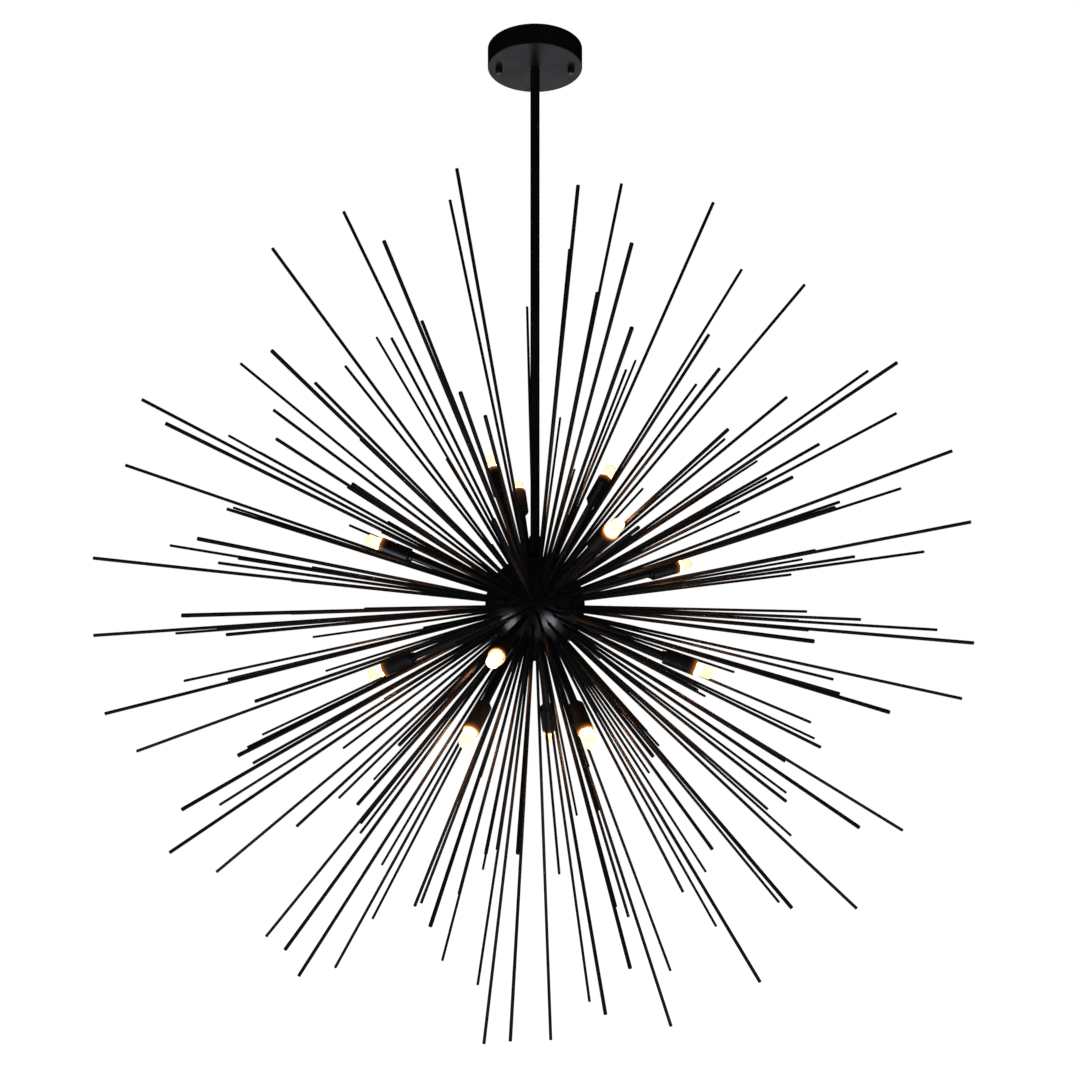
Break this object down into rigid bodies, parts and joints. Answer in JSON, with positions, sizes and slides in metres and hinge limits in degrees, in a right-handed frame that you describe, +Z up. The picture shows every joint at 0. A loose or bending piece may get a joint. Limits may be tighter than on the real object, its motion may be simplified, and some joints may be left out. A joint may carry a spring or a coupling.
{
  "type": "starburst chandelier",
  "caption": "Black starburst chandelier: a ball hub on a plain stem and round canopy, ringed with long and short straight rods and capsule lamps in cups on radial arms.",
  "frame": {"origin": "middle of the ceiling strap's top face, on the ceiling; the lamp hangs below it", "axes": "+Z up along the stem, +X right and -Y towards the viewer in the picture; the strap runs along X"},
  "size_m": [1.146, 1.15, 1.3697],
  "materials": {
    "satin_black": "satin black powder coat",
    "hub_black": "semi-gloss black paint",
    "rod_black": "satin black paint",
    "cup_black": "satin black paint",
    "zinc_steel": "zinc plated",
    "brass_earth": "plain brass",
    "black_nut": "satin black with a bright rim",
    "phenolic": "moulded matt",
    "lead_jacket": "soft matt jacket",
    "ceramic": "glazed ceramic",
    "clear_glass": "clear glass",
    "lit_core": "lit filament on a ceramic base"
  },
  "bodies": {
    "fixture": {"ceiling_strap": "zinc_steel", "strap_studs": "zinc_steel", "ground_screw": "brass_earth", "stem_nipple": "zinc_steel", "nipple_washer": "zinc_steel", "nipple_nuts": "zinc_steel", "stem": "satin_black", "hub_coupling": "satin_black", "hub_tie_tube": "zinc_steel", "hub_lock_nuts": "zinc_steel", "hub_cap_nut": "hub_black", "supply_lead": "lead_jacket", "hub_upper_shell": "hub_black", "hub_lower_shell": "hub_black", "splice_housing": "phenolic", "long_rods_upper": "rod_black", "long_rods_lower": "rod_black", "short_rods_upper": "rod_black", "short_rods_lower": "rod_black", "lamp_arms": "cup_black", "arm_nuts": "zinc_steel", "lamp_cups": "cup_black", "cup_nuts": "zinc_steel", "lamp_sockets": "ceramic", "lamp_leads": "lead_jacket"},
    "canopy_cover": {"canopy": "satin_black"},
    "nut_left": {"thumb_nut_left": "black_nut"},
    "nut_right": {"thumb_nut_right": "black_nut"},
    "bulb_01": {"bulb_01_glass": "clear_glass", "bulb_01_core": "lit_core"},
    "bulb_02": {"bulb_02_glass": "clear_glass", "bulb_02_core": "lit_core"},
    "bulb_03": {"bulb_03_glass": "clear_glass", "bulb_03_core": "lit_core"},
    "bulb_04": {"bulb_04_glass": "clear_glass", "bulb_04_core": "lit_core"},
    "bulb_05": {"bulb_05_glass": "clear_glass", "bulb_05_core": "lit_core"},
    "bulb_06": {"bulb_06_glass": "clear_glass", "bulb_06_core": "lit_core"},
    "bulb_07": {"bulb_07_glass": "clear_glass", "bulb_07_core": "lit_core"},
    "bulb_08": {"bulb_08_glass": "clear_glass", "bulb_08_core": "lit_core"},
    "bulb_09": {"bulb_09_glass": "clear_glass", "bulb_09_core": "lit_core"},
    "bulb_10": {"bulb_10_glass": "clear_glass", "bulb_10_core": "lit_core"},
    "bulb_11": {"bulb_11_glass": "clear_glass", "bulb_11_core": "lit_core"},
    "bulb_12": {"bulb_12_glass": "clear_glass", "bulb_12_core": "lit_core"}
  },
  "joints": [
    {"name": "canopy_drop", "type": "slide", "parent": "fixture", "child": "canopy_cover", "axis": [0, 0, -1], "range_m": [0, 0.15]},
    {"name": "nut_left_spin", "type": "hinge", "parent": "canopy_cover", "child": "nut_left", "pos_m": [-0.0513, 0, -0.0308], "axis": [0, 0, 1], "continuous": true},
    {"name": "nut_right_spin", "type": "hinge", "parent": "canopy_cover", "child": "nut_right", "pos_m": [0.0513, 0, -0.0308], "axis": [0, 0, 1], "continuous": true},
    {"name": "bulb_01_pull", "type": "slide", "parent": "fixture", "child": "bulb_01", "axis": [-0.2653, 0.4415, 0.8572], "range_m": [0, 0.03]},
    {"name": "bulb_02_pull", "type": "slide", "parent": "fixture", "child": "bulb_02", "axis": [-0.1047, 0.6609, 0.7431], "range_m": [0, 0.03]},
    {"name": "bulb_03_pull", "type": "slide", "parent": "fixture", "child": "bulb_03", "axis": [0.4401, 0.4104, 0.7986], "range_m": [0, 0.03]},
    {"name": "bulb_04_pull", "type": "slide", "parent": "fixture", "child": "bulb_04", "axis": [0.3858, -0.8466, 0.3665], "range_m": [0, 0.03]},
    {"name": "bulb_05_pull", "type": "slide", "parent": "fixture", "child": "bulb_05", "axis": [0.8844, 0.3938, 0.2504], "range_m": [0, 0.03]},
    {"name": "bulb_06_pull", "type": "slide", "parent": "fixture", "child": "bulb_06", "axis": [-0.9214, 0.1295, 0.3665], "range_m": [0, 0.03]},
    {"name": "bulb_07_pull", "type": "slide", "parent": "fixture", "child": "bulb_07", "axis": [-0.9098, 0.1604, -0.3827], "range_m": [0, 0.03]},
    {"name": "bulb_08_pull", "type": "slide", "parent": "fixture", "child": "bulb_08", "axis": [-0.1921, -0.9443, -0.2672], "range_m": [0, 0.03]},
    {"name": "bulb_09_pull", "type": "slide", "parent": "fixture", "child": "bulb_09", "axis": [-0.3374, -0.6621, -0.6691], "range_m": [0, 0.03]},
    {"name": "bulb_10_pull", "type": "slide", "parent": "fixture", "child": "bulb_10", "axis": [0.091, 0.6089, -0.788], "range_m": [0, 0.03]},
    {"name": "bulb_11_pull", "type": "slide", "parent": "fixture", "child": "bulb_11", "axis": [0.2663, -0.6938, -0.6691], "range_m": [0, 0.03]},
    {"name": "bulb_12_pull", "type": "slide", "parent": "fixture", "child": "bulb_12", "axis": [0.9132, -0.1941, -0.3584], "range_m": [0, 0.03]}
  ]
}
